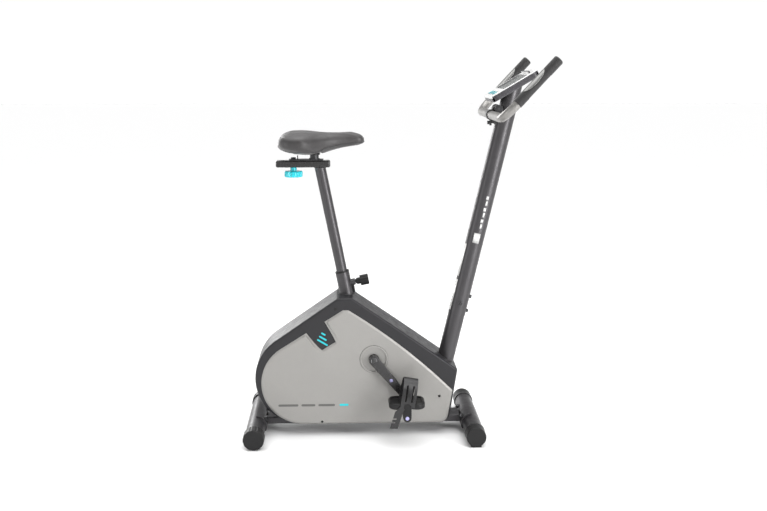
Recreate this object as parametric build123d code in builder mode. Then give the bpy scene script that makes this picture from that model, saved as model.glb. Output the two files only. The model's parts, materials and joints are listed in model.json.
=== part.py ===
"""Upright exercise bike: a low frame on two stabiliser feet, a belt drive with a
magnetic flywheel inside a two-shell housing, pedals, an adjustable saddle, a mast
with a U-shaped handlebar and a console.

Millimetres. +X is the way the rider faces, +Y the rider's left, +Z up. The origin is
on the floor, under the middle of the bounding box."""

import os
from math import atan2, cos, degrees, hypot, radians, sin

from build123d import *

os.makedirs("parts", exist_ok=True)

# Feet
foot_z = 34.0
rear_foot_x = -457.0
front_foot_x = 259.5
foot_r = 30.0
foot_wall = 2.0
foot_half = 209.0
foot_end = 215.0
rear_cap_r = 34.0
front_cap_r = 32.0
cap_start = 172.0
roller_r = 33.0
roller_start = 158.0
bolt_y = 52.0
bolt_rise = 30.0

# Beam and the tubes on it
beam_top = 53.0
beam_bottom = 29.0
beam_half_y = 40.0
beam_wall = 2.5
plate_t = 4.0
seat_lean = 11.3
seat_foot_x = -72.0
seat_tube_r = 23.0
seat_tube_len = 496.0
post_r = 18.0
mast_lean = 13.05
mast_foot_x = 134.2
lower_mast_r = 28.0
upper_mast_r = 29.0
mast_joint = 352.0

# Drive
crank_x = -67.0
crank_z = 262.0
crank_len = 160.0
crank_angle = -50.0
axle_r = 9.95
pulley_r = 110.0
belt_y = 32.0
belt_w = 11.0
belt_t = 2.5
fly_x = -301.0
fly_z = 196.0
fly_r = 115.0
fly_pulley_r = 22.0
idler_r = 15.0

# Housing
shell_half = 79.0
shell_wall = 2.5
panel_t = 4.5
tail_r = 157.0

# Handlebar and console
bar_x = 317.0
bar_z = 1056.0
bar_r = 14.0
arm_y = 270.0
arm_rise = 47.0
bar_bend = 58.0
grip_r = 15.8
grip_round = 6.0
console_x = 376.0
console_z = 1158.0
console_tilt = 30.5
console_len = 170.0
console_w = 190.0
console_t = 21.0

# The grips end as far ahead of the origin as the rear caps end behind it.
tip_reach = rear_cap_r - rear_foot_x - bar_x - grip_round
tip_reach -= (grip_r - grip_round) * sin(radians(arm_rise))
arm_len = grip_round + tip_reach / cos(radians(arm_rise))

# Saddle
rail_bottom = 888.0
rail_top = 910.0
rail_rear = -382.0
rail_front = -205.0
rail_half_y = 19.0
knob_x = -325.0
stem_x = -257.0


def side(y):
    """A sketch plane facing the right side: its axes are X and Z, its normal is -Y."""
    return Plane(origin=(0, y, 0), x_dir=(1, 0, 0), z_dir=(0, -1, 0))


def leaning(x, z, lean, along=0.0):
    """A plane across an axis that starts at x, z and leans forward by lean degrees."""
    up = (sin(radians(lean)), 0, cos(radians(lean)))
    start = (x + up[0] * along, 0, z + up[2] * along)
    return Plane(origin=start, x_dir=(up[2], 0, -up[0]), z_dir=up)


def seat_plane(along):
    return leaning(seat_foot_x, beam_top, -seat_lean, along)


def mast_plane(along):
    return leaning(mast_foot_x, beam_top, mast_lean, along)


def across(x, z, y_low, y_high, radius):
    """A round bar along Y, added to the part being built."""
    with BuildSketch(side(y_high)) as disc:
        with Locations((x, z)):
            Circle(radius)
    extrude(disc.sketch, amount=y_high - y_low)


def cut_across(x, z, y_low, y_high, radius):
    with BuildSketch(side(y_high)) as disc:
        with Locations((x, z)):
            Circle(radius)
    extrude(disc.sketch, amount=y_high - y_low, mode=Mode.SUBTRACT)


def save(builder, name):
    builder.part.label = name
    export_step(builder.part, "parts/" + name + ".step")


# ---------------------------------------------------------------- frame

with BuildPart() as main_beam:
    with BuildSketch(Plane.YZ.offset(rear_foot_x + foot_r + 6)):
        with Locations((0, (beam_top + beam_bottom) / 2)):
            Rectangle(beam_half_y * 2, beam_top - beam_bottom)
    extrude(amount=front_foot_x - rear_foot_x - 2 * foot_r - 12)
    fillet(main_beam.edges().filter_by(Axis.X), radius=4)
    with BuildSketch(Plane.YZ.offset(rear_foot_x)):
        with Locations((0, (beam_top + beam_bottom) / 2)):
            inner_w = beam_half_y * 2 - beam_wall * 2
            RectangleRounded(inner_w, beam_top - beam_bottom - beam_wall * 2, 2)
    extrude(amount=front_foot_x - rear_foot_x, mode=Mode.SUBTRACT)
save(main_beam, "main_beam")

with BuildPart() as foot_plates:
    for foot_x, inward in ((rear_foot_x, 1), (front_foot_x, -1)):
        with BuildSketch(side(78)):
            with Locations((foot_x, foot_z)):
                Circle(foot_r + 5.5)
                Circle(foot_r + 0.2, mode=Mode.SUBTRACT)
            with Locations((foot_x - inward * 50, foot_z)):
                Rectangle(100, 120, mode=Mode.SUBTRACT)
            with Locations((foot_x + inward * 30, foot_z - 50 - foot_r * 0.55)):
                Rectangle(60, 100, mode=Mode.SUBTRACT)
        extrude(amount=156)
    for foot_x, inward in ((rear_foot_x, 1), (front_foot_x, -1)):
        for y in (-bolt_y, bolt_y):
            bolt_dir = (inward * cos(radians(bolt_rise)), 0, sin(radians(bolt_rise)))
            hole = Plane(origin=(foot_x, y, foot_z), x_dir=(0, 1, 0), z_dir=bolt_dir)
            with BuildSketch(hole):
                Circle(4.3)
            extrude(amount=60, mode=Mode.SUBTRACT)
save(foot_plates, "foot_plates")

with BuildPart() as foot_tubes:
    for foot_x in (rear_foot_x, front_foot_x):
        across(foot_x, foot_z, -foot_half, foot_half, foot_r)
    for foot_x in (rear_foot_x, front_foot_x):
        cut_across(foot_x, foot_z, -foot_half, foot_half, foot_r - foot_wall)
    for foot_x, inward in ((rear_foot_x, 1), (front_foot_x, -1)):
        for y in (-bolt_y, bolt_y):
            bolt_dir = (inward * cos(radians(bolt_rise)), 0, sin(radians(bolt_rise)))
            hole = Plane(origin=(foot_x, y, foot_z), x_dir=(0, 1, 0), z_dir=bolt_dir)
            with BuildSketch(hole.offset(-40)):
                Circle(4.3)
            extrude(amount=80, mode=Mode.SUBTRACT)
save(foot_tubes, "foot_tubes")

with BuildPart() as foot_bolts:
    for foot_x, inward in ((rear_foot_x, 1), (front_foot_x, -1)):
        for y in (-bolt_y, bolt_y):
            bolt_dir = (inward * cos(radians(bolt_rise)), 0, sin(radians(bolt_rise)))
            seat = Plane(origin=(foot_x, y, foot_z), x_dir=(0, 1, 0), z_dir=bolt_dir)
            with BuildSketch(seat.offset(-foot_r - 4.2)):
                Circle(9)
            extrude(amount=4, taper=-20)
            with BuildSketch(seat.offset(-foot_r - 1)):
                Circle(4)
            extrude(amount=foot_r * 2 + 16)
            with BuildSketch(seat.offset(foot_r + 5.6)):
                Circle(8.5)
                Circle(4.1, mode=Mode.SUBTRACT)
            extrude(amount=1.6)
            with BuildSketch(seat.offset(foot_r + 7.2)):
                RegularPolygon(7.2, 6)
                Circle(4.1, mode=Mode.SUBTRACT)
            extrude(amount=6.5)
save(foot_bolts, "foot_bolts")

with BuildPart() as front_foot_caps:
    for y_low in (-foot_end, cap_start):
        across(front_foot_x, foot_z, y_low, y_low + foot_end - cap_start, front_cap_r)
    rims = front_foot_caps.edges().filter_by(GeomType.CIRCLE)
    fillet(rims, radius=2.5)
    for y_low in (-foot_end, cap_start):
        with BuildSketch(side(y_low + foot_end - cap_start - 3)):
            with Locations((front_foot_x, 9)):
                Rectangle(34, 18)
        extrude(amount=foot_end - cap_start - 6)
    cut_across(front_foot_x, foot_z, -foot_half - 1, foot_half + 1, foot_r + 0.1)
save(front_foot_caps, "front_foot_caps")


def rear_cap(hand):
    """The turning levelling cap on one end of the rear foot, hand -1 right, 1 left."""
    with BuildPart() as cap:
        with BuildSketch(side(foot_end * hand if hand > 0 else -cap_start)):
            with Locations((rear_foot_x, foot_z)):
                RegularPolygon(rear_cap_r, 12, major_radius=False, rotation=15)
            with Locations((rear_foot_x, foot_z)):
                with PolarLocations(rear_cap_r + 6.4, 12, start_angle=15):
                    Circle(7.5, mode=Mode.SUBTRACT)
        extrude(amount=foot_end - cap_start)
        ends = cap.faces().filter_by(Axis.Y)
        outer = ends.sort_by(Axis.Y)[-1 if hand > 0 else 0]
        chamfer(outer.edges(), length=2.0)
        reach = foot_half + 0.4
        if hand > 0:
            cut_across(rear_foot_x, foot_z, 100, reach, foot_r + 0.06)
        else:
            cut_across(rear_foot_x, foot_z, -reach, -100, foot_r + 0.06)
    return cap


right_rear_cap = rear_cap(-1)
save(right_rear_cap, "right_rear_cap")
left_rear_cap = rear_cap(1)
save(left_rear_cap, "left_rear_cap")


def roller(y_low):
    with BuildPart() as ring:
        across(front_foot_x, foot_z, y_low, y_low + 13.5, roller_r)
        fillet(ring.edges().filter_by(GeomType.CIRCLE), radius=1.5)
        cut_across(front_foot_x, foot_z, y_low, y_low + 13.5, foot_r + 0.06)
    return ring


right_roller = roller(-roller_start - 13.5)
save(right_roller, "right_roller")
left_roller = roller(roller_start)
save(left_roller, "left_roller")

lock_along = 456.0
lock_plane = Plane(
    origin=seat_plane(lock_along).origin,
    x_dir=(0, 1, 0),
    z_dir=(cos(radians(seat_lean)), 0, sin(radians(seat_lean))),
)

with BuildPart() as seat_tube:
    with BuildSketch(seat_plane(-12)):
        Circle(seat_tube_r)
    extrude(amount=seat_tube_len + 12)
    with BuildSketch(lock_plane.offset(15)):
        Circle(11)
    extrude(amount=21)
    with BuildSketch(seat_plane(-12)):
        Circle(seat_tube_r - 2)
    extrude(amount=seat_tube_len + 12, mode=Mode.SUBTRACT)
    with BuildSketch(lock_plane):
        Circle(4.06)
    extrude(amount=60, mode=Mode.SUBTRACT)
    with BuildSketch(Plane.XY.offset(beam_top)):
        with Locations((seat_foot_x, 0)):
            Rectangle(120, 120)
    extrude(amount=-60, mode=Mode.SUBTRACT)
save(seat_tube, "seat_tube")

with BuildPart() as post_bushing:
    with BuildSketch(seat_plane(seat_tube_len - 62)):
        Circle(seat_tube_r - 2.1)
    extrude(amount=63)
    with BuildSketch(seat_plane(seat_tube_len + 0.1)):
        Circle(seat_tube_r + 0.4)
    extrude(amount=4)
    fillet(post_bushing.edges().filter_by(GeomType.CIRCLE).sort_by(Axis.Z)[-1], 1.2)
    with BuildSketch(seat_plane(seat_tube_len - 70)):
        Circle(post_r + 0.08)
    extrude(amount=90, mode=Mode.SUBTRACT)
    with BuildSketch(lock_plane):
        Circle(4.6)
    extrude(amount=60, mode=Mode.SUBTRACT)
save(post_bushing, "post_bushing")

with BuildPart() as lower_mast:
    with BuildSketch(mast_plane(-12)):
        Circle(lower_mast_r)
    extrude(amount=mast_joint + 12)
    with BuildSketch(mast_plane(mast_joint)):
        Circle(upper_mast_r - 2.2)
    extrude(amount=100)
    with BuildSketch(mast_plane(-12)):
        Circle(lower_mast_r - 3.5)
    extrude(amount=mast_joint + 130, mode=Mode.SUBTRACT)
    with BuildSketch(Plane.XY.offset(beam_top)):
        with Locations((mast_foot_x, 0)):
            Rectangle(120, 120)
    extrude(amount=-60, mode=Mode.SUBTRACT)
    for along in (mast_joint + 16, mast_joint + 65):
        bolt_hole = Plane(
            origin=mast_plane(along).origin, x_dir=(0, 1, 0), z_dir=mast_plane(0).x_dir
        )
        with BuildSketch(bolt_hole):
            Circle(4.2)
        extrude(amount=60, mode=Mode.SUBTRACT)
save(lower_mast, "lower_mast")

console_up = (-sin(radians(console_tilt)), 0, cos(radians(console_tilt)))
console_fore = (cos(radians(console_tilt)), 0, sin(radians(console_tilt)))
console_face = Plane(
    origin=(console_x, 0, console_z), x_dir=console_fore, z_dir=console_up
)

side_screw = mast_plane(mast_joint + 40).origin
with BuildPart() as upper_mast:
    with BuildSketch(mast_plane(mast_joint + 0.3)):
        Circle(upper_mast_r)
        Circle(upper_mast_r - 2, mode=Mode.SUBTRACT)
    extrude(amount=860)
    with BuildSketch(console_face.offset(-console_t - 3.3)):
        Rectangle(400, 400)
    extrude(amount=200, mode=Mode.SUBTRACT)
    for along in (mast_joint + 16, mast_joint + 65):
        bolt_hole = Plane(
            origin=mast_plane(along).origin, x_dir=(0, 1, 0), z_dir=mast_plane(0).x_dir
        )
        with BuildSketch(bolt_hole):
            Circle(4.2)
        extrude(amount=60, mode=Mode.SUBTRACT)
    with BuildSketch(side(-10)):
        with Locations((side_screw.X, side_screw.Z)):
            Circle(3.2)
    extrude(amount=60, mode=Mode.SUBTRACT)
save(upper_mast, "upper_mast")

with BuildPart() as mast_bolts:
    for along in (mast_joint + 16, mast_joint + 65):
        bolt_seat = Plane(
            origin=mast_plane(along).origin, x_dir=(0, 1, 0), z_dir=mast_plane(0).x_dir
        )
        with BuildSketch(bolt_seat.offset(upper_mast_r - 8)):
            Circle(4)
        extrude(amount=9)
        with BuildSketch(bolt_seat.offset(upper_mast_r + 0.1)):
            Circle(6.5)
        extrude(amount=6, taper=12)
    across(side_screw.X, side_screw.Z, -upper_mast_r - 3, -upper_mast_r + 1.7, 3.1)
    across(side_screw.X, side_screw.Z, -upper_mast_r - 4, -upper_mast_r - 0.1, 6)
save(mast_bolts, "mast_bolts")

# ---------------------------------------------------------------- crank support

with BuildPart() as crank_support:
    across(crank_x, crank_z, -34, 22, 20)
    brace_foot = (-12.0, beam_top - 12)
    brace_rise = hypot(crank_x + 4 - brace_foot[0], crank_z - brace_foot[1])
    brace_lean = degrees(atan2(crank_x + 4 - brace_foot[0], crank_z - brace_foot[1]))
    with BuildSketch(leaning(brace_foot[0], brace_foot[1], brace_lean)):
        with Locations((0, -6)):
            Circle(12)
    extrude(amount=brace_rise - 12)
    with BuildSketch(side(-2)):
        with Locations((crank_x - 18, crank_z)):
            Rectangle(36, 34)
    extrude(amount=8)
    with BuildSketch(seat_plane(0)):
        Circle(seat_tube_r)
    extrude(amount=400, mode=Mode.SUBTRACT)
    cut_across(crank_x, crank_z, -34, 22, 17.55)
    with BuildSketch(Plane.XY.offset(beam_top)):
        Rectangle(200, 120)
    extrude(amount=-60, mode=Mode.SUBTRACT)
save(crank_support, "crank_support")

with BuildPart() as crank_bearings:
    for y_low in (-33.5, 11.5):
        across(crank_x, crank_z, y_low, y_low + 10, 17.5)
        cut_across(crank_x, crank_z, y_low, y_low + 10, axle_r + 0.05)
save(crank_bearings, "crank_bearings")

pivot_x = -361.0
pivot_z = 309.0
with BuildPart() as flywheel_plates:
    for y_high in (beam_half_y + plate_t + 0.1, -beam_half_y - 0.1):
        with BuildSketch(side(y_high)):
            with BuildLine():
                FilletPolyline(
                    (fly_x - 48, beam_bottom + 3),
                    (fly_x + 48, beam_bottom + 3),
                    (fly_x + 24, fly_z + 22),
                    (pivot_x + 16, pivot_z + 12),
                    (pivot_x - 13, pivot_z + 12),
                    (pivot_x - 13, pivot_z - 14),
                    (fly_x - 30, fly_z),
                    radius=8,
                    close=True,
                )
            make_face()
            with Locations((fly_x, fly_z)):
                Circle(6.3, mode=Mode.SUBTRACT)
            with Locations((pivot_x, pivot_z)):
                Circle(4.06, mode=Mode.SUBTRACT)
        extrude(amount=plate_t)
save(flywheel_plates, "flywheel_plates")

with BuildPart() as flywheel_axle:
    across(fly_x, fly_z, -62, 62, 6)
    for y_low in (beam_half_y + plate_t + 0.3, -beam_half_y - plate_t - 10.3):
        with BuildSketch(side(y_low + 10)):
            with Locations((fly_x, fly_z)):
                RegularPolygon(10.5, 6)
        extrude(amount=10)
save(flywheel_axle, "flywheel_axle")

# ---------------------------------------------------------------- drive

with BuildPart() as crank_axle:
    across(crank_x, crank_z, -104, 104, axle_r)
    across(crank_x, crank_z, -109, -104, 7)
    across(crank_x, crank_z, 104, 109, 7)
save(crank_axle, "crank_axle")


def crank_arm(hand):
    """A tapered arm on the axle's end, hand -1 right side, 1 left side."""
    end_x = crank_x - hand * crank_len * cos(radians(crank_angle))
    end_z = crank_z - hand * crank_len * sin(radians(crank_angle))
    outer = 105 if hand > 0 else -91.5
    with BuildPart() as arm:
        with BuildSketch(side(outer)):
            with Locations((crank_x, crank_z)):
                Circle(16.5)
            with Locations((end_x, end_z)):
                Circle(12)
            make_hull()
        extrude(amount=13.5)
        fillet(arm.edges().filter_by(Plane.XZ), radius=2.5)
        across(crank_x, crank_z, 89 if hand > 0 else -95, 95 if hand > 0 else -89, 16.5)
        cut_across(crank_x, crank_z, -110, 110, axle_r + 0.03)
        cut_across(end_x, end_z, -110, 110, 6.05)
    return arm


right_crank = crank_arm(-1)
save(right_crank, "right_crank")
left_crank = crank_arm(1)
save(left_crank, "left_crank")

arm_dx = crank_len * cos(radians(crank_angle))
arm_dz = crank_len * sin(radians(crank_angle))
right_pedal_at = (crank_x + arm_dx, crank_z + arm_dz)
left_pedal_at = (crank_x - arm_dx, crank_z - arm_dz)

with BuildPart() as pedal_spindles:
    for (x, z), hand in ((right_pedal_at, -1), (left_pedal_at, 1)):
        y_near, y_far = sorted((hand * 92.5, hand * 214))
        across(x, z, y_near, y_far, 6)
        y_near, y_far = sorted((hand * 105.3, hand * 110))
        across(x, z, y_near, y_far, 9)
save(pedal_spindles, "pedal_spindles")

with BuildPart() as drive_pulley:
    across(crank_x, crank_z, belt_y - 7, belt_y + 7, 22)
    across(crank_x, crank_z, belt_y - 2, belt_y + 2, pulley_r - 4)
    with BuildSketch(side(belt_y + belt_w / 2)):
        with Locations((crank_x, crank_z)):
            Circle(pulley_r)
            Circle(pulley_r - 9, mode=Mode.SUBTRACT)
    extrude(amount=belt_w)
    with BuildSketch(side(belt_y + 10)):
        with Locations((crank_x, crank_z)):
            with PolarLocations(62, 6):
                Circle(20)
    extrude(amount=20, mode=Mode.SUBTRACT)
    cut_across(crank_x, crank_z, belt_y - 8, belt_y + 8, axle_r + 0.03)
save(drive_pulley, "drive_pulley")

with BuildPart() as flywheel:
    across(fly_x, fly_z, -12, 12, fly_r)
    cut_across(fly_x, fly_z, -12, -5, fly_r - 28)
    cut_across(fly_x, fly_z, 5, 12, fly_r - 28)
    across(fly_x, fly_z, -24, 24, 20)
    cut_across(fly_x, fly_z, -24, 24, 6.06)
    chamfer(flywheel.edges().filter_by(GeomType.CIRCLE).sort_by(SortBy.RADIUS)[-2:], 1)
save(flywheel, "flywheel")

with BuildPart() as flywheel_pulley:
    across(fly_x, fly_z, belt_y - belt_w / 2, belt_y + belt_w / 2, fly_pulley_r)
    across(fly_x, fly_z, 24.2, belt_y + 6.5, 15)
    cut_across(fly_x, fly_z, 24, belt_y + 7, 6.06)
save(flywheel_pulley, "flywheel_pulley")

with BuildPart() as drive_belt:
    with BuildSketch(side(belt_y + belt_w / 2 - 0.5)):
        with Locations((crank_x, crank_z)):
            Circle(pulley_r + 0.3 + belt_t)
        with Locations((fly_x, fly_z)):
            Circle(fly_pulley_r + 0.3 + belt_t)
        make_hull()
    extrude(amount=belt_w - 1)
    with BuildSketch(side(belt_y + belt_w)):
        with Locations((crank_x, crank_z)):
            Circle(pulley_r + 0.3)
        with Locations((fly_x, fly_z)):
            Circle(fly_pulley_r + 0.3)
        make_hull()
    extrude(amount=belt_w * 2, mode=Mode.SUBTRACT)
save(drive_belt, "drive_belt")

run_len = hypot(crank_x - fly_x, crank_z - fly_z)
run_turn = degrees(atan2(crank_z - fly_z, crank_x - fly_x))
run_turn -= 90 + degrees(atan2(pulley_r - fly_pulley_r, run_len * 0.932))
run_down = (cos(radians(run_turn)), sin(radians(run_turn)))
touch_r = fly_pulley_r + belt_t + idler_r + 1.2
idler_x = fly_x + run_down[0] * touch_r - run_down[1] * 110
idler_z = fly_z + run_down[1] * touch_r + run_down[0] * 110

with BuildPart() as idler_pulley:
    across(idler_x, idler_z, belt_y - belt_w / 2, belt_y + belt_w / 2, idler_r)
    cut_across(idler_x, idler_z, belt_y - belt_w, belt_y + belt_w, 4.06)
save(idler_pulley, "idler_pulley")

with BuildPart() as idler_bracket:
    with BuildSketch(side(belt_y - 10)):
        with BuildLine():
            FilletPolyline(
                (idler_x - 22, beam_top),
                (idler_x + 22, beam_top),
                (idler_x + 10, idler_z + 10),
                (idler_x - 10, idler_z + 10),
                radius=6,
                close=True,
            )
        make_face()
    extrude(amount=4)
    across(idler_x, idler_z, belt_y - 12, belt_y + 8, 4)
    across(idler_x, idler_z, belt_y - 11, belt_y - 6, 8)
    with BuildSketch(Plane.XY.offset(beam_top)):
        with Locations((idler_x, 0)):
            Rectangle(120, 120)
    extrude(amount=-30, mode=Mode.SUBTRACT)
save(idler_bracket, "idler_bracket")

ear_x = -236.0
ear_z = 312.0
with BuildPart() as magnet_bracket:
    with BuildSketch(side(18)):
        with Locations((fly_x, fly_z)):
            Circle(fly_r + 10)
            Circle(fly_r + 6.5, mode=Mode.SUBTRACT)
            below = (Align.CENTER, Align.MAX)
            behind = (Align.CENTER, Align.MIN)
            Rectangle(400, 400, rotation=62, align=below, mode=Mode.SUBTRACT)
            Rectangle(400, 400, rotation=116, align=behind, mode=Mode.SUBTRACT)
    extrude(amount=36)
    for angle in (70, 82, 94, 106):
        turned = Location((fly_x, 0, fly_z), (0, -angle, 0))
        with Locations(turned * Location((fly_r + 4.6, 0, 0))):
            Box(4.6, 22, 15)
    for y_high in (18, -14):
        with BuildSketch(side(y_high)):
            with Locations((pivot_x, pivot_z)):
                Circle(9)
            with Locations((pivot_x + 15, pivot_z + 1)):
                Circle(5)
            make_hull()
        extrude(amount=4)
    across(pivot_x, pivot_z, -48, 48, 4)
    with BuildSketch(side(3)):
        with Locations((ear_x, ear_z - 2)):
            Circle(5)
        with Locations((ear_x - 10, ear_z + 1)):
            Circle(3)
        make_hull()
    extrude(amount=6)
save(magnet_bracket, "magnet_bracket")

spool_r = 8.0
spool_x = ear_x - spool_r - 1.2
spool_z = 374.0
with BuildPart() as cable_spool:
    across(spool_x, spool_z, -5, 5, spool_r)
    across(spool_x, spool_z, -6.5, -4, 12)
    across(spool_x, spool_z, 4, 6.5, 12)
    across(spool_x, spool_z, -20, -6, 3)
save(cable_spool, "cable_spool")

with BuildPart() as brake_cable:
    with BuildSketch(Plane.XY.offset(ear_z + 4)):
        with Locations((ear_x, 0)):
            Circle(0.8)
    extrude(amount=spool_z - ear_z - 4)
save(brake_cable, "brake_cable")

with BuildPart() as tension_motor:
    with BuildSketch(side(-8)):
        with BuildLine():
            FilletPolyline(
                (spool_x - 24, spool_z - 20),
                (-130, spool_z - 20),
                (-130, spool_z + 16),
                (spool_x - 24, spool_z + 16),
                radius=4,
                close=True,
            )
        make_face()
    extrude(amount=20)
    with BuildSketch(seat_plane(0)):
        Circle(seat_tube_r + 0.02)
    extrude(amount=460, mode=Mode.SUBTRACT)
    with BuildSketch(Plane.YZ.offset(-150)):
        with Locations((0, spool_z)):
            Rectangle(200, 200)
    extrude(amount=60, mode=Mode.SUBTRACT)
    cut_across(spool_x, spool_z, -22, 0, 3.05)
save(tension_motor, "tension_motor")

# ---------------------------------------------------------------- housing

peak_left = (-186.0, 466.0)
peak_right = (-138.0, 466.0)
nose_top = (211.0, 222.0)
nose_foot = (182.0, 39.0)
slope_mid = (19.0, 358.0)
left_slope = 35.6
tail_top = (
    fly_x - tail_r * sin(radians(left_slope)),
    fly_z + tail_r * cos(radians(left_slope)),
)


def outer_shape():
    """The housing's side outline, for the sketch being built."""
    with BuildLine() as outline:
        Line((fly_x, fly_z - tail_r), nose_foot)
        Line(nose_foot, nose_top)
        ThreePointArc(nose_top, slope_mid, peak_right)
        Line(peak_right, peak_left)
        Line(peak_left, tail_top)
        ThreePointArc(tail_top, (fly_x - tail_r, fly_z), (fly_x, fly_z - tail_r))
    make_face(outline.edges())


with BuildPart() as right_shell:
    with BuildSketch(side(-0.1)) as shell_outline:
        outer_shape()
        corners = shell_outline.vertices()
        fillet(corners.group_by(Axis.Y)[-1], radius=14)
        fillet(shell_outline.vertices().sort_by(Axis.X)[-1], radius=7)
        fillet(shell_outline.vertices().sort_by_distance((182, 39, 0))[0], radius=32)
    extrude(amount=shell_half - 0.1)
    fillet(right_shell.faces().sort_by(Axis.Y)[0].edges(), radius=6.5)
    with BuildSketch(side(-0.1)) as shell_cavity:
        outer_shape()
        corners = shell_cavity.vertices()
        fillet(corners.group_by(Axis.Y)[-1], radius=14)
        fillet(shell_cavity.vertices().sort_by(Axis.X)[-1], radius=7)
        fillet(shell_cavity.vertices().sort_by_distance((182, 39, 0))[0], radius=32)
        offset(amount=-shell_wall)
    extrude(amount=shell_half - 0.1 - shell_wall, mode=Mode.SUBTRACT)
    with BuildSketch(seat_plane(300)):
        Circle(seat_tube_r + 0.4)
    extrude(amount=200, mode=Mode.SUBTRACT)
    with BuildSketch(mast_plane(60)):
        Circle(lower_mast_r + 0.4)
    extrude(amount=240, mode=Mode.SUBTRACT)
    with BuildSketch(Plane.YZ.offset(-480)):
        with Locations((0, (beam_top + beam_bottom) / 2)):
            Rectangle(beam_half_y * 2 + 1, beam_top - beam_bottom + 1)
    extrude(amount=700, mode=Mode.SUBTRACT)
    with BuildSketch(Plane.XY.offset(30)):
        with Locations((fly_x, 0)):
            Rectangle(100, beam_half_y * 2 + 2 * plate_t + 1)
    extrude(amount=20, mode=Mode.SUBTRACT)
    cut_across(crank_x, crank_z, -90, 0, 13)
save(right_shell, "right_shell")

with BuildPart() as left_shell:
    add(mirror(right_shell.part, about=Plane.XZ))
save(left_shell, "left_shell")

panel_tail_x = -299.0
panel_tail_z = 181.0
panel_tail_r = 139.0
panel_bevel = 3.4
panel_bevel_angle = 62
screw_spots = ((-239, 49), (150, 133))

with BuildPart() as right_panel:
    with BuildSketch(side(-shell_half)) as panel_outline:
        with BuildLine():
            panel_slope = 32.9
            panel_tail_top = (
                panel_tail_x - panel_tail_r * sin(radians(panel_slope)),
                panel_tail_z + panel_tail_r * cos(radians(panel_slope)),
            )
            Line((panel_tail_x, panel_tail_z - panel_tail_r), (175, 42))
            Line((175, 42), (194, 152))
            ThreePointArc((194, 152), (19, 308), (-150, 427))
            Line((-150, 427), (-168, 427))
            Line((-168, 427), panel_tail_top)
            ThreePointArc(
                panel_tail_top,
                (panel_tail_x - panel_tail_r, panel_tail_z),
                (panel_tail_x, panel_tail_z - panel_tail_r),
            )
        make_face()
        fillet(panel_outline.vertices().sort_by(Axis.X)[-1], radius=6)
        fillet(panel_outline.vertices().group_by(Axis.Y)[-1], radius=7)
        fillet(panel_outline.vertices().sort_by_distance((175, 42, 0))[0], radius=26)
        with BuildLine() as notch:
            Polyline(
                (-243, 290), (-189, 323), (-229, 391), (-298, 366), close=True
            )
        make_face(notch.edges(), mode=Mode.SUBTRACT)
    extrude(amount=panel_t - panel_bevel)
    face = right_panel.faces().sort_by(Axis.Y)[0]
    extrude(face, amount=panel_bevel, taper=panel_bevel_angle)
    for x, z in screw_spots:
        cut_across(x, z, -90, -70, 4.6)
    across(crank_x, crank_z, -shell_half - panel_t - 2.5, -shell_half - 1, 46)
    ring_edge = right_panel.edges().filter_by(GeomType.CIRCLE).sort_by(Axis.Y)[0]
    fillet(ring_edge, radius=1.5)
    cut_across(crank_x, crank_z, -90, -shell_half - panel_t + 1, 41)
    cut_across(crank_x, crank_z, -90, -70, 17)
save(right_panel, "right_panel")

with BuildPart() as left_panel:
    add(mirror(right_panel.part, about=Plane.XZ))
save(left_panel, "left_panel")

with BuildPart() as shell_screws:
    for x, z in screw_spots:
        across(x, z, -shell_half - 1.8, -shell_half - 0.2, 4.3)
        across(x, z, shell_half + 0.2, shell_half + 1.8, 4.3)
save(shell_screws, "shell_screws")

# ---------------------------------------------------------------- pedals


def pedal_body(at, hand):
    """A platform with a waist, a bearing barrel and a weight that keeps it upright."""
    x, z = at
    middle = hand * 168
    with BuildPart() as pedal:
        with BuildSketch(Plane.XY.offset(z - 10)):
            with Locations((x - 31, middle), (x + 31, middle)):
                RectangleRounded(54, 96, 26.5)
            with Locations((x, middle)):
                Rectangle(60, 84)
        extrude(amount=20)
        rims = pedal.faces().filter_by(Axis.Z).sort_by(Axis.Z)
        fillet(rims[-1].edges(), radius=6)
        fillet(rims[0].edges(), radius=6)
        for height in (z - 10, z + 7):
            with BuildSketch(Plane.XY.offset(height)):
                with Locations((x - 34, middle), (x + 34, middle)):
                    RectangleRounded(28, 62, 12)
            extrude(amount=3, mode=Mode.SUBTRACT)
        y_near, y_far = sorted((hand * 112, hand * 217))
        across(x, z, y_near, y_far, 11.5)
        y_near, y_far = sorted((hand * 170, hand * 214))
        with BuildSketch(side(y_far)):
            with Locations((x, z - 37)):
                Circle(13.5)
            with Locations((x, z - 20)):
                Rectangle(27, 34)
        extrude(amount=44)
        y_near, y_far = sorted((hand * 100, hand * 214.5))
        cut_across(x, z, y_near, y_far, 6.06)
    return pedal


right_pedal = pedal_body(right_pedal_at, -1)
save(right_pedal, "right_pedal")
left_pedal = pedal_body(left_pedal_at, 1)
save(left_pedal, "left_pedal")


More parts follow.
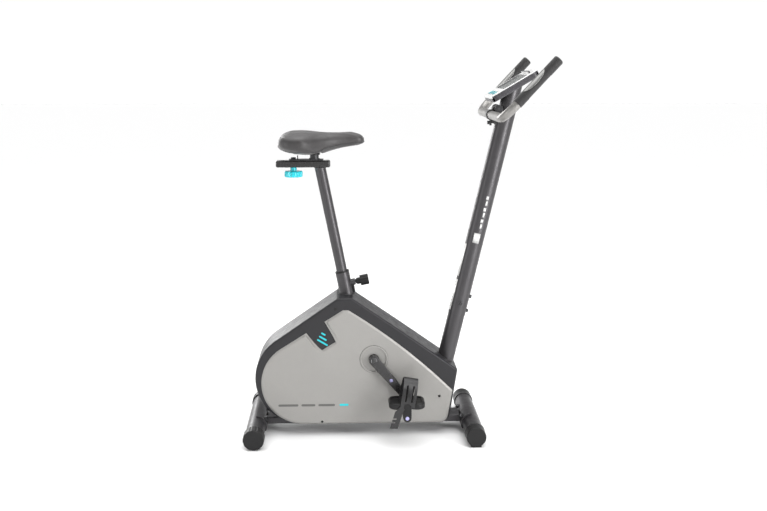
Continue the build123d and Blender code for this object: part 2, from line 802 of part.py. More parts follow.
def toe_strap(at, hand):
    """A rubber strap arched over the platform, leaning forward, with a slotted tail."""
    x, z = at
    middle = hand * 168
    lean = 10.0
    strap_dir = (cos(radians(lean)), 0, -sin(radians(lean)))
    arch = Plane(origin=(x, middle, z), x_dir=(0, 1, 0), z_dir=strap_dir)
    face_across = Plane(origin=(x, middle, z), x_dir=strap_dir, z_dir=(0, -1, 0))
    with BuildPart() as strap:
        with BuildSketch(arch):
            Ellipse(51, 84)
            Ellipse(48.3, 81.2, mode=Mode.SUBTRACT)
            with Locations((0, -50)):
                Rectangle(120, 100, mode=Mode.SUBTRACT)
        extrude(amount=23, both=True)
        with BuildSketch(face_across):
            with Locations((-9, 42), (11, 42)):
                SlotOverall(50, 6, rotation=90)
        extrude(amount=80, both=True, mode=Mode.SUBTRACT)
        tail_y = 219.0 if hand > 0 else -216.4
        with BuildSketch(side(tail_y)):
            with BuildLine():
                Polyline(
                    (x - 16, z + 9),
                    (x + 4, z + 9),
                    (x - 14, z - 15),
                    (x - 31, z - 70),
                    (x - 57, z - 70),
                    (x - 40, z - 15),
                    close=True,
                )
            make_face()
            with Locations((x - 43, z - 38), (x - 47, z - 50)):
                SlotOverall(17, 4.5, mode=Mode.SUBTRACT)
        extrude(amount=2.6)
        cut_across(x, z, -220, 220, 12)
    return strap


right_strap = toe_strap(right_pedal_at, -1)
save(right_strap, "right_strap")
left_strap = toe_strap(left_pedal_at, 1)
save(left_strap, "left_strap")

# ---------------------------------------------------------------- saddle

with BuildPart() as seat_post:
    with BuildSketch(seat_plane(230)):
        Circle(post_r)
        Circle(post_r - 2, mode=Mode.SUBTRACT)
    extrude(amount=640)
    with BuildSketch(Plane.XY.offset(rail_bottom)):
        with Locations((-240, 0)):
            Rectangle(200, 200)
    extrude(amount=100, mode=Mode.SUBTRACT)
    slot_plane = Plane(
        origin=seat_plane(0).origin,
        x_dir=seat_plane(0).z_dir,
        z_dir=lock_plane.z_dir,
    )
    with BuildSketch(slot_plane):
        with Locations((lock_along + 60, 0)):
            SlotOverall(280, 9.2)
    extrude(amount=60, mode=Mode.SUBTRACT)
save(seat_post, "seat_post")

with BuildPart() as seat_rail:
    with BuildSketch(Plane.YZ.offset(rail_rear + 4)):
        with Locations((0, (rail_bottom + rail_top) / 2)):
            RectangleRounded(rail_half_y * 2, rail_top - rail_bottom, 4)
    extrude(amount=rail_front - rail_rear - 8)
    with BuildSketch(Plane.YZ.offset(rail_rear)):
        with Locations((0, (rail_bottom + rail_top) / 2)):
            RectangleRounded(rail_half_y * 2 - 5, rail_top - rail_bottom - 5, 2)
    extrude(amount=200, mode=Mode.SUBTRACT)
    with BuildSketch(Plane.XY.offset(rail_bottom - 1)):
        with Locations((knob_x, 0)):
            SlotOverall(86, 9)
    extrude(amount=30, mode=Mode.SUBTRACT)
    for x_low in (rail_rear, rail_front - 8):
        with BuildSketch(Plane.YZ.offset(x_low)):
            with Locations((0, (rail_bottom + rail_top) / 2)):
                RectangleRounded(rail_half_y * 2, rail_top - rail_bottom, 4)
        extrude(amount=8)
    rail_ends = seat_rail.faces().filter_by(Axis.X).sort_by(Axis.X)
    fillet(rail_ends[0].edges(), radius=6.5)
    fillet(rail_ends[-1].edges(), radius=6.5)
save(seat_rail, "seat_rail")

with BuildPart() as slider:
    with BuildSketch(Plane.XY.offset(rail_top + 0.3)):
        with Locations(((knob_x - 14 - 228) / 2, 0)):
            RectangleRounded(-228 - knob_x + 14, 36, 5)
    extrude(amount=4)
    with BuildSketch(Plane.XY.offset(rail_top + 4)):
        with Locations((stem_x, 0)):
            Circle(18)
    extrude(amount=3)
    with BuildSketch(Plane.XY.offset(rail_top + 4)):
        with Locations((stem_x, 0)):
            Circle(14.5)
    extrude(amount=24)
    with BuildSketch(Plane.XY.offset(rail_top + 4)):
        with Locations((knob_x, 0)):
            RegularPolygon(8, 6)
    extrude(amount=6)
    with BuildSketch(Plane.XY.offset(rail_top)):
        with Locations((knob_x, 0)):
            Circle(4.06)
    extrude(amount=20, mode=Mode.SUBTRACT)
    with BuildSketch(Plane.XY.offset(rail_top + 4)):
        with Locations((-311, 0)):
            Rectangle(3, 14)
    extrude(amount=12)
save(slider, "slider")

with BuildPart() as slider_knob:
    with BuildSketch(Plane.XY.offset(856)):
        with Locations((knob_x, 0)):
            Circle(30)
            with PolarLocations(34, 10):
                Circle(7, mode=Mode.SUBTRACT)
    extrude(amount=20)
    fillet(slider_knob.faces().sort_by(Axis.Z)[0].edges(), radius=4)
    fillet(slider_knob.faces().sort_by(Axis.Z)[-1].edges(), radius=4)
    with BuildSketch(Plane.XY.offset(875)):
        with Locations((knob_x, 0)):
            Circle(10.5)
    extrude(amount=12.5)
    with BuildSketch(Plane.XY.offset(880)):
        with Locations((knob_x, 0)):
            Circle(4)
    extrude(amount=40)
save(slider_knob, "slider_knob")

with BuildPart() as saddle_base:
    with BuildSketch(Plane.XY.offset(934)):
        with Locations((-292, 0)):
            RectangleRounded(64, 120, 28)
        with Locations((-264, 0)):
            RectangleRounded(48, 60, 20)
    extrude(amount=5)
    with BuildSketch(Plane.XY.offset(928.5)):
        with Locations((stem_x, 0)):
            Circle(19)
    extrude(amount=10.5)
    with BuildSketch(Plane.XY.offset(920)):
        with Locations((stem_x, 0)):
            Circle(14.55)
    extrude(amount=30, mode=Mode.SUBTRACT)
save(saddle_base, "saddle_base")

saddle_sections = (
    (-375, 60, 958, 982),
    (-362, 150, 944, 996),
    (-340, 210, 936, 1002),
    (-304, 226, 930, 1003),
    (-265, 190, 929, 1001),
    (-232, 140, 934, 999),
    (-200, 104, 945, 999),
    (-165, 80, 953, 1000),
    (-130, 66, 959, 1001),
    (-106, 54, 961, 995),
    (-92, 30, 964, 984),
)
with BuildPart() as saddle_cushion:
    for x, width, low, high in saddle_sections:
        with BuildSketch(Plane.YZ.offset(x)):
            with Locations((0, (low + high) / 2)):
                RectangleRounded(width, high - low, (high - low) * 0.44)
    loft()
    with BuildSketch(Plane.XY.offset(900)):
        with Locations((-292, 0)):
            RectangleRounded(65, 121, 28)
        with Locations((-262, 0)):
            RectangleRounded(54, 61, 20)
    extrude(amount=39.4, mode=Mode.SUBTRACT)
save(saddle_cushion, "saddle_cushion")

with BuildPart() as lock_knob:
    with BuildSketch(lock_plane.offset(15.5)):
        Circle(4)
    extrude(amount=35)
    with BuildSketch(lock_plane.offset(36.6)):
        Circle(8)
    extrude(amount=6)
    with BuildSketch(lock_plane.offset(41)):
        Circle(11)
    extrude(amount=14)
    with BuildSketch(lock_plane.offset(53)):
        Circle(17.5)
        with PolarLocations(22.5, 8):
            Circle(7, mode=Mode.SUBTRACT)
    extrude(amount=28)
save(lock_knob, "lock_knob")

# ---------------------------------------------------------------- handlebar

bar_plane = Plane(
    origin=(bar_x, 0, bar_z),
    x_dir=(0, 1, 0),
    z_dir=(sin(radians(arm_rise)), 0, -cos(radians(arm_rise))),
)
arm_dir = (cos(radians(arm_rise)), 0, sin(radians(arm_rise)))


def arm_plane(y, along):
    """A plane across one arm, along millimetres from the crossbar."""
    start = (bar_x + arm_dir[0] * along, y, bar_z + arm_dir[2] * along)
    return Plane(origin=start, x_dir=(0, 1, 0), z_dir=arm_dir)


with BuildPart() as handlebar:
    with BuildLine(bar_plane):
        FilletPolyline(
            (-arm_y, arm_len - 4),
            (-arm_y, 0),
            (arm_y, 0),
            (arm_y, arm_len - 4),
            radius=bar_bend,
        )
    with BuildSketch(arm_plane(-arm_y, arm_len - 4)):
        Circle(bar_r)
        Circle(bar_r - 1.8, mode=Mode.SUBTRACT)
    sweep()
save(handlebar, "handlebar")

with BuildPart() as grips:
    for y in (-arm_y, arm_y):
        with BuildSketch(arm_plane(y, bar_bend + 2)):
            Circle(grip_r)
        extrude(amount=arm_len - bar_bend - 2)
        with BuildSketch(arm_plane(y, 96)):
            Circle(grip_r + 1)
            Circle(grip_r - 0.9, mode=Mode.SUBTRACT)
        extrude(amount=94, mode=Mode.SUBTRACT)
    tips = grips.edges().filter_by(GeomType.CIRCLE).group_by(Axis.Z)[-1]
    fillet(tips, radius=grip_round)
    for y in (-arm_y, arm_y):
        with BuildSketch(arm_plane(y, 40)):
            Circle(bar_r + 0.05)
        extrude(amount=arm_len - 43.5, mode=Mode.SUBTRACT)
save(grips, "grips")

with BuildPart() as pulse_plates:
    for y in (-arm_y, arm_y):
        with BuildSketch(arm_plane(y, 96.5)):
            Circle(grip_r)
            Circle(grip_r - 0.8, mode=Mode.SUBTRACT)
        extrude(amount=93)
    middle = arm_plane(0, 143)
    lens_side = Plane(
        origin=middle.origin + middle.y_dir * 19, x_dir=arm_dir, z_dir=(0, -1, 0)
    )
    with BuildSketch(lens_side):
        Ellipse(46, 17)
    extrude(amount=400, both=True, mode=Mode.INTERSECT)
save(pulse_plates, "pulse_plates")

hinge_x = 338.0
hinge_z = 1076.0
lug_z = 1031.0
with BuildPart() as clamp_base:
    with BuildSketch(side(15)):
        with Locations((bar_x, bar_z)):
            Circle(bar_r + 4.5)
        with Locations((hinge_x, hinge_z)):
            Circle(11)
        with Locations((350, 1048)):
            Circle(6)
        with Locations((334, 1028)):
            Circle(5)
        make_hull()
        with Locations((bar_x - 60 + 2.5, bar_z)):
            Rectangle(120, 120, mode=Mode.SUBTRACT)
    extrude(amount=30)
    across(hinge_x, hinge_z, -29.8, 29.8, 11)
    cut_across(bar_x, bar_z, -40, 40, bar_r + 0.06)
    cut_across(hinge_x, hinge_z, -40, 40, 3.2)
    with BuildSketch(Plane.YZ.offset(bar_x - 10)):
        with Locations((0, lug_z)):
            Circle(3.2)
    extrude(amount=30, mode=Mode.SUBTRACT)
    with BuildSketch(mast_plane(800)):
        Circle(upper_mast_r)
    extrude(amount=300, mode=Mode.SUBTRACT)
save(clamp_base, "clamp_base")

with BuildPart() as clamp_strap:
    with BuildSketch(side(15)):
        with Locations((bar_x, bar_z)):
            Circle(bar_r + 3.2)
            Circle(bar_r + 0.06, mode=Mode.SUBTRACT)
        with Locations((bar_x + 60 + 2.2, bar_z)):
            Rectangle(120, 120, mode=Mode.SUBTRACT)
    extrude(amount=30)
    with BuildSketch(side(9)):
        with BuildLine():
            Polyline(
                (bar_x - 4, bar_z - bar_r - 1.5),
                (bar_x + 2, bar_z - bar_r - 1.5),
                (bar_x + 2, bar_z - 34),
                (bar_x - 4, bar_z - 34),
                close=True,
            )
        make_face()
    extrude(amount=18)
    with BuildSketch(Plane.YZ.offset(bar_x - 10)):
        with Locations((0, lug_z)):
            Circle(3.2)
    extrude(amount=30, mode=Mode.SUBTRACT)
save(clamp_strap, "clamp_strap")

with BuildPart() as clamp_pins:
    across(hinge_x, hinge_z, -32, 32, 3.1)
    across(hinge_x, hinge_z, -37, -30.1, 13)
    across(hinge_x, hinge_z, 30.1, 37, 13)
    bolt_head = Plane(origin=(bar_x - 4.2, 0, lug_z), x_dir=(0, 1, 0), z_dir=(-1, 0, 0))
    with BuildSketch(bolt_head):
        RegularPolygon(6.5, 6)
    extrude(amount=7)
    with BuildSketch(bolt_head.offset(1)):
        Circle(3.1)
    extrude(amount=-14)
save(clamp_pins, "clamp_pins")

# ---------------------------------------------------------------- console

with BuildPart() as console_back:
    with BuildSketch(console_face.offset(-console_t)):
        RectangleRounded(console_len, console_w, 18)
    extrude(amount=console_t - 7.3)
    under = console_back.faces().filter_by(console_face).sort_by(Axis.Z)[0]
    fillet(under.edges(), radius=4)
    with BuildSketch(console_face.offset(-console_t + 2.5)):
        RectangleRounded(console_len - 5, console_w - 5, 15.5)
    extrude(amount=console_t, mode=Mode.SUBTRACT)
    with BuildSketch(console_face.offset(-console_t + 0.5)):
        with Locations((8, 0)):
            RectangleRounded(46, 46, 8)
    extrude(amount=-3.6)
    with BuildSketch(mast_plane(1040)):
        Circle(upper_mast_r - 2.3)
        Circle(upper_mast_r - 5, mode=Mode.SUBTRACT)
    extrude(amount=75)
    with BuildSketch(console_face.offset(-console_t + 2.4)):
        Rectangle(console_len - 6, console_w - 6)
    extrude(amount=60, mode=Mode.SUBTRACT)
save(console_back, "console_back")

button_spots = ((-62, -45), (-62, 0), (-62, 45))
with BuildPart() as console_front:
    with BuildSketch(console_face.offset(-7)):
        RectangleRounded(console_len, console_w, 18)
    extrude(amount=7)
    top = console_front.faces().filter_by(console_face).sort_by(Axis.Z)[-1]
    fillet(top.edges(), radius=3)
    with BuildSketch(console_face.offset(-2)):
        with Locations((8, 0)):
            RectangleRounded(84, 150, 8)
    extrude(amount=3, mode=Mode.SUBTRACT)
    with BuildSketch(console_face.offset(-8)):
        with Locations((8, 0)):
            RectangleRounded(76, 142, 6)
        with Locations(*button_spots):
            Circle(9)
    extrude(amount=10, mode=Mode.SUBTRACT)
    with BuildSketch(console_face.offset(-1)):
        with Locations((62, 0)):
            Rectangle(5, 130)
    extrude(amount=8)
save(console_front, "console_front")

with BuildPart() as console_lens:
    with BuildSketch(console_face.offset(-1.9)):
        with Locations((8, 0)):
            RectangleRounded(83.4, 149.4, 7.7)
    extrude(amount=1.7)
save(console_lens, "console_lens")


def push_button(spot):
    with BuildPart() as button:
        with BuildSketch(console_face.offset(-4.5)):
            with Locations(spot):
                Circle(8.6)
        extrude(amount=6.5)
        cap_edge = button.edges().filter_by(GeomType.CIRCLE).sort_by(Axis.Z)[-1]
        fillet(cap_edge, radius=1.2)
    return button


right_button = push_button(button_spots[0])
save(right_button, "right_button")
middle_button = push_button(button_spots[1])
save(middle_button, "middle_button")
left_button = push_button(button_spots[2])
save(left_button, "left_button")
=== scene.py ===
"""Looks for an upright exercise bike: materials, the padded saddle, small trim and the studio."""

import json
import math

import bmesh
import bpy
import numpy as np
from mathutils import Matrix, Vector
from mathutils.bvhtree import BVHTree


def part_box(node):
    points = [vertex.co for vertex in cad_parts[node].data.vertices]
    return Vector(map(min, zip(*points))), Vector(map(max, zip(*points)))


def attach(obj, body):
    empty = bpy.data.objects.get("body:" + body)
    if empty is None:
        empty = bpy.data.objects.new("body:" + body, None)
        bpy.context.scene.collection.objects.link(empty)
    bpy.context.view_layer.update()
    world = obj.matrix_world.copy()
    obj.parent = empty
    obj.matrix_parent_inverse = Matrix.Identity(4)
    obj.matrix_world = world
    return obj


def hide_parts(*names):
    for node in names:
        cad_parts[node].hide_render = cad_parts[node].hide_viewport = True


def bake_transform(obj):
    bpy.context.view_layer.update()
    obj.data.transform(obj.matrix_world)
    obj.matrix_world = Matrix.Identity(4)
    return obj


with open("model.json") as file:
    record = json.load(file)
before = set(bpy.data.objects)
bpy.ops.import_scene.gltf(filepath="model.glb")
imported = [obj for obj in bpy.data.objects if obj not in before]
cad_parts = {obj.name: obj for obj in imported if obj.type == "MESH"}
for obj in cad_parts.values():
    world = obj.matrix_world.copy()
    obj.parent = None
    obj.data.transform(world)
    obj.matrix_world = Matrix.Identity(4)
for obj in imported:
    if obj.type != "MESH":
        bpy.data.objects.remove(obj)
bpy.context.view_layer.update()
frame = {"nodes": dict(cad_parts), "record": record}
nodes = frame["nodes"]
scene = bpy.context.scene
scene.view_settings.view_transform = "Standard"

# ------------------------------------------------------------------ places on the bike, in metres

CRANK_X, CRANK_Z = -0.067, 0.262
CRANK_LENGTH = 0.160
CRANK_ANGLE = math.radians(-50)
SHELL_Y = 0.0790
PANEL_Y = 0.0835
PANEL_SCREWS = ((-0.239, 0.049), (0.150, 0.133))
SEAT_FOOT, SEAT_LEAN = Vector((-0.072, 0, 0.053)), math.radians(-11.3)
MAST_FOOT, MAST_LEAN = Vector((0.1342, 0, 0.053)), math.radians(13.05)
MAST_SKIN = 0.02905
BEAM_WELD_Z = 0.0545
CONSOLE_TILT = math.radians(30.5)
CONSOLE_MIDDLE = Vector((0.376, 0, 1.158))
BUTTON_SPOTS = (-0.045, 0, 0.045)
BUTTON_FORE = -0.062
SIDES = ((-1, "right"), (1, "left"))

# ------------------------------------------------------------------ camera

camera_data = bpy.data.cameras.new("camera")
camera_data.lens = 49.7
camera_data.sensor_width = 36
camera_data.clip_end = 200
camera = bpy.data.objects.new("camera", camera_data)
camera.location = (-0.1735, -3.45, 1.218)
camera.rotation_euler = (math.radians(79.75), 0, math.radians(-2.35))
scene.collection.objects.link(camera)
scene.camera = camera

# ------------------------------------------------------------------ materials


def material(
    name,
    colour,
    rough,
    metal=0.0,
    grain=0.0009,
    bump=0.25,
    mottle=0.07,
    wear=0.35,
    wear_colour=None,
    edge=0.0008,
    coat=0.0,
    sheen=0.0,
    alpha=1.0,
    stretch=(1, 1, 1),
    cells=0.0,
    cell_bump=0.5,
    sparkle=0.0,
    specular=0.5,
    lumps=0.12,
):
    """A finish with colour variation, grain, uneven gloss, softened edges and light wear on them."""
    made = bpy.data.materials.new(name)
    made.use_nodes = True
    tree = made.node_tree
    tree.nodes.clear()

    def node(kind, **values):
        n = tree.nodes.new(kind)
        for key, value in values.items():
            setattr(n, key, value)
        return n

    def noise(size, detail, vector):
        n = node("ShaderNodeTexNoise")
        n.inputs["Scale"].default_value = 1 / size
        n.inputs["Detail"].default_value = detail
        tree.links.new(vector, n.inputs["Vector"])
        return n.outputs["Fac"]

    def spread(value, low, high, to_low, to_high):
        n = node("ShaderNodeMapRange")
        for i, v in enumerate((low, high, to_low, to_high)):
            n.inputs[i + 1].default_value = v
        tree.links.new(value, n.inputs[0])
        return n.outputs[0]

    def math_node(kind, a, b):
        n = node("ShaderNodeMath", operation=kind)
        for i, v in enumerate((a, b)):
            if isinstance(v, (int, float)):
                n.inputs[i].default_value = v
            else:
                tree.links.new(v, n.inputs[i])
        return n.outputs[0]

    def mix(factor, a, b):
        n = node("ShaderNodeMix", data_type="RGBA")
        tree.links.new(factor, n.inputs["Factor"])
        for socket, v in ((n.inputs[6], a), (n.inputs[7], b)):
            if isinstance(v, tuple):
                socket.default_value = (*v, 1)
            else:
                tree.links.new(v, socket)
        return n.outputs[2]

    coords = node("ShaderNodeTexCoord").outputs["Object"]
    scaled = node("ShaderNodeMapping")
    scaled.inputs["Scale"].default_value = stretch
    tree.links.new(coords, scaled.inputs["Vector"])
    broad = noise(0.11, 3, coords)
    patches = noise(0.018, 5, scaled.outputs[0])
    fine = noise(grain, 3, scaled.outputs[0])

    dark = tuple(c * (1 - mottle) for c in colour)
    light = tuple(min(1.0, c * (1 + mottle)) for c in colour)
    tone = math_node("ADD", math_node("MULTIPLY", broad, 0.6), math_node("MULTIPLY", patches, 0.4))
    shade = mix(spread(tone, 0.36, 0.64, 0, 1), dark, light)
    if sparkle:
        flecks = noise(0.0011, 1, coords)
        glint = tuple(min(1.0, c * (1 + sparkle)) for c in colour)
        shade = mix(spread(flecks, 0.6, 0.78, 0, 0.8), shade, glint)

    rounded = node("ShaderNodeBevel", samples=4)
    rounded.inputs["Radius"].default_value = edge
    surface = node("ShaderNodeNewGeometry")
    agree = node("ShaderNodeVectorMath", operation="DOT_PRODUCT")
    tree.links.new(rounded.outputs[0], agree.inputs[0])
    tree.links.new(surface.outputs["Normal"], agree.inputs[1])
    rub = math_node(
        "MULTIPLY", spread(agree.outputs["Value"], 0.95, 0.78, 0, 1),
        spread(patches, 0.42, 0.62, 0.15, 1),
    )
    rub = math_node("MULTIPLY", rub, wear)
    worn = wear_colour or tuple(min(1.0, c * 1.6 + 0.05) for c in colour)
    shade = mix(rub, shade, worn)

    gloss = spread(patches, 0.3, 0.7, max(0.03, rough - 0.07), min(1.0, rough + 0.08))
    gloss = math_node("ADD", gloss, spread(fine, 0.3, 0.7, -0.025, 0.025))

    height = math_node("ADD", math_node("MULTIPLY", fine, 0.75), math_node("MULTIPLY", patches, lumps))
    relief = node("ShaderNodeBump")
    relief.inputs["Strength"].default_value = bump
    relief.inputs["Distance"].default_value = 0.0004
    tree.links.new(height, relief.inputs["Height"])
    tree.links.new(rounded.outputs[0], relief.inputs["Normal"])
    normal = relief.outputs[0]
    if cells:
        pebbles = node("ShaderNodeTexVoronoi", feature="SMOOTH_F1")
        pebbles.inputs["Scale"].default_value = 1 / cells
        tree.links.new(coords, pebbles.inputs["Vector"])
        creases = node("ShaderNodeBump", invert=True)
        creases.inputs["Strength"].default_value = cell_bump
        creases.inputs["Distance"].default_value = 0.0005
        tree.links.new(pebbles.outputs["Distance"], creases.inputs["Height"])
        tree.links.new(normal, creases.inputs["Normal"])
        normal = creases.outputs[0]

    shader = node("ShaderNodeBsdfPrincipled")
    shader.inputs["Metallic"].default_value = metal
    shader.inputs["Coat Weight"].default_value = coat
    shader.inputs["Specular IOR Level"].default_value = specular
    shader.inputs["Coat Roughness"].default_value = 0.18
    shader.inputs["Sheen Weight"].default_value = sheen
    shader.inputs["Alpha"].default_value = alpha
    tree.links.new(shade, shader.inputs["Base Color"])
    tree.links.new(gloss, shader.inputs["Roughness"])
    tree.links.new(normal, shader.inputs["Normal"])
    out = node("ShaderNodeOutputMaterial")
    tree.links.new(shader.outputs[0], out.inputs["Surface"])
    return made


BARE = (0.45, 0.45, 0.46)
finishes = {
    "frame_paint": material(
        "charcoal_enamel", (0.062, 0.0595, 0.0625), 0.38, metal=0.65, grain=0.0016, bump=0.05,
        wear=0.25, wear_colour=(0.2, 0.2, 0.2), sparkle=0.6,
    ),
    "bar_paint": material(
        "light_grey_enamel", (0.235, 0.228, 0.218), 0.34, metal=0.5, grain=0.0016, bump=0.05,
        wear=0.25, wear_colour=(0.6, 0.6, 0.59), coat=0.1, sparkle=0.4,
    ),
    "clamp_paint": material(
        "satin_black_enamel", (0.012, 0.0115, 0.012), 0.27, grain=0.0014, bump=0.16, wear=0.35,
        wear_colour=(0.12, 0.12, 0.12), coat=0.2,
    ),
    "shell_plastic": material(
        "dark_shell_plastic", (0.017, 0.0165, 0.0185), 0.4, grain=0.0007, bump=0.14, wear=0.3,
        wear_colour=(0.09, 0.09, 0.095), edge=0.0016, specular=0.35, lumps=0.03,
    ),
    "panel_plastic": material(
        "silver_panel_plastic", (0.27, 0.263, 0.251), 0.42, metal=0.2, grain=0.0007, bump=0.12,
        mottle=0.03, wear=0.5, wear_colour=(0.62, 0.62, 0.6), edge=0.0018, sparkle=0.25,
    ),
    "black_plastic": material(
        "black_moulded_plastic", (0.009, 0.0088, 0.009), 0.45, grain=0.0008, bump=0.25, specular=0.3,
        wear=0.35, wear_colour=(0.09, 0.09, 0.09),
    ),
    "teal_plastic": material(
        "teal_moulded_plastic", (0.012, 0.52, 0.60), 0.24, grain=0.0012, bump=0.1, mottle=0.05,
        wear=0.25, wear_colour=(0.2, 0.75, 0.82), coat=0.3,
    ),
    "strap_rubber": material(
        "strap_rubber", (0.014, 0.0135, 0.014), 0.34, grain=0.0006, bump=0.3, wear=0.35,
        wear_colour=(0.075, 0.075, 0.075),
    ),
    "grip_foam": material(
        "grip_foam", (0.013, 0.0125, 0.0128), 0.6, specular=0.35, grain=0.0008, bump=0.7, wear=0.2,
        sheen=0.25, cells=0.0011, cell_bump=0.35,
    ),
    "belt_rubber": material("belt_rubber", (0.02, 0.02, 0.02), 0.6, bump=0.4),
    "zinc_steel": material(
        "zinc_steel", (0.55, 0.55, 0.56), 0.32, metal=1.0, bump=0.15, wear=0.2,
        wear_colour=(0.8, 0.8, 0.8),
    ),
    "dark_steel": material(
        "black_oxide_steel", (0.03, 0.03, 0.032), 0.36, metal=0.5, bump=0.2, wear=0.55,
        wear_colour=BARE,
    ),
    "iron": material("machined_iron", (0.2, 0.2, 0.205), 0.42, metal=0.9, bump=0.35, stretch=(1, 6, 1)),
    "magnet_steel": material("pressed_steel", (0.45, 0.45, 0.47), 0.34, metal=1.0, stretch=(1, 1, 8)),
    "pulse_steel": material(
        "brushed_stainless", (0.42, 0.42, 0.41), 0.34, metal=1.0, grain=0.0007, bump=0.04,
        stretch=(1, 8, 1), wear=0.1,
    ),
    "console_light": material(
        "white_console_plastic", (0.72, 0.72, 0.715), 0.32, grain=0.0008, bump=0.12, mottle=0.03,
        wear=0.2, wear_colour=(0.85, 0.85, 0.85),
    ),
    "console_dark": material(
        "charcoal_console_plastic", (0.036, 0.034, 0.039), 0.36, grain=0.0008, bump=0.25, wear=0.3,
    ),
    "button_plastic": material("teal_button_plastic", (0.02, 0.42, 0.48), 0.34, bump=0.15, coat=0.2),
    "lens": material("tinted_lens", (0.03, 0.035, 0.04), 0.08, bump=0.03, coat=0.5, alpha=0.35),
    "saddle_skin": material(
        "saddle_vinyl", (0.033, 0.0305, 0.031), 0.45, specular=0.4, grain=0.0007, bump=0.3, mottle=0.1,
        wear=0.1, sheen=0.2, cells=0.0017, cell_bump=0.4,
    ),
    "motor_case": material("motor_case", (0.07, 0.07, 0.075), 0.5, bump=0.3),
}
slots = {row["node"]: row["material_slot"] for row in frame["record"]["subparts"]}
for name, shown in nodes.items():
    shown.data.materials.clear()
    shown.data.materials.append(finishes[slots[name]])

front = nodes["console_front"].data
front.materials.append(finishes["console_dark"])
console_fore = Vector((math.cos(CONSOLE_TILT), 0, math.sin(CONSOLE_TILT)))
console_side = Vector((0, 1, 0))
console_up = Vector((-math.sin(CONSOLE_TILT), 0, math.cos(CONSOLE_TILT)))
for polygon in front.polygons:
    rider_face = polygon.normal.dot(-console_fore) > 0.75
    light_face = polygon.normal.dot(console_up) > 0.35 or rider_face
    polygon.material_index = 0 if light_face else 1

trim_black = material("trim_black", (0.004, 0.004, 0.004), 0.6, wear=0.0)
trim_dark = material("trim_dark", (0.03, 0.03, 0.031), 0.5, wear=0.15)
trim_teal = material("trim_teal", (0.01, 0.47, 0.53), 0.4, bump=0.08, mottle=0.04, wear=0.1)
trim_grey = material("trim_grey_ink", (0.095, 0.093, 0.09), 0.45, bump=0.08, wear=0.1)
trim_pale = material("trim_pale_ink", (0.62, 0.62, 0.61), 0.42, bump=0.1, mottle=0.04, wear=0.1)
trim_label = material(
    "trim_label_film", (0.72, 0.72, 0.7), 0.35, bump=0.08, mottle=0.05, wear=0.1, coat=0.3,
)
trim_lcd = material("trim_lcd", (0.33, 0.38, 0.34), 0.35, bump=0.06, mottle=0.05, wear=0.1)
trim_weld = material(
    "trim_weld", (0.055, 0.054, 0.057), 0.3, metal=0.35, grain=0.003, bump=0.6, wear=0.3, coat=0.2,
)
trim_sticker = material("trim_sticker", (0.38, 0.36, 0.62), 0.35, bump=0.08, mottle=0.08, wear=0.1)

# ------------------------------------------------------------------ piece builders


def piece(name, verts, faces, finish, body, smooth=True):
    """A new mesh piece in the row frame, riding on a body."""
    mesh = bpy.data.meshes.new(name)
    mesh.from_pydata([tuple(v) for v in verts], [], faces)
    tidy = bmesh.new()
    tidy.from_mesh(mesh)
    bmesh.ops.remove_doubles(tidy, verts=tidy.verts, dist=1e-7)
    bmesh.ops.recalc_face_normals(tidy, faces=tidy.faces)
    tidy.to_mesh(mesh)
    tidy.free()
    for polygon in mesh.polygons:
        polygon.use_smooth = smooth
    mesh.materials.append(finish)
    made = bpy.data.objects.new(name, mesh)
    scene.collection.objects.link(made)
    if body:
        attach(made, body)
    return made


def lean_axes(lean):
    """Along a leaning tube, and forward square to it."""
    return Vector((math.sin(lean), 0, math.cos(lean))), Vector((math.cos(lean), 0, -math.sin(lean)))


def side_axes(hand):
    """Sketch axes on a face seen from one side: along X, along Z and outward."""
    return Vector((1, 0, 0)), Vector((0, 0, 1)), Vector((0, hand, 0))


def rounded_outline(w, h, r, steps=6):
    """Corner-rounded rectangle outline about the origin."""
    points = []
    right, top = w / 2 - r, h / 2 - r
    for cx, cy, start in ((right, top, 0), (-right, top, 90), (-right, -top, 180), (right, -top, 270)):
        for i in range(steps + 1):
            a = math.radians(start + 90 * i / steps)
            points.append((cx + r * math.cos(a), cy + r * math.sin(a)))
    return points


def plate(name, outline, origin, u, v, n, thick, finish, body, slot, soften=0.25):
    """A thin plate with a softened front edge, its back at origin and its front thick along n."""
    origin = Vector(origin)
    centre = Vector((0, 0))
    for axis in (0, 1):
        centre[axis] = sum(p[axis] for p in outline) / len(outline)
    inset = thick * soften
    rings = []
    for height, shrink in ((0, 0), (thick - inset, 0), (thick, inset)):
        ring = []
        for a, b in outline:
            pull = Vector((a, b)) - centre
            scale = max(0.0, 1 - shrink / max(pull.length, 1e-6))
            p = centre + pull * scale
            ring.append(origin + u * p.x + v * p.y + n * height)
        rings.append(ring)
    count = len(outline)
    verts = [p for ring in rings for p in ring]
    faces = [tuple(range(count))[::-1], tuple(range(2 * count, 3 * count))]
    for level in (0, count):
        for i in range(count):
            j = (i + 1) % count
            faces.append((level + i, level + j, level + count + j, level + count + i))
    return piece(name, verts, faces, finish, body, smooth=False)


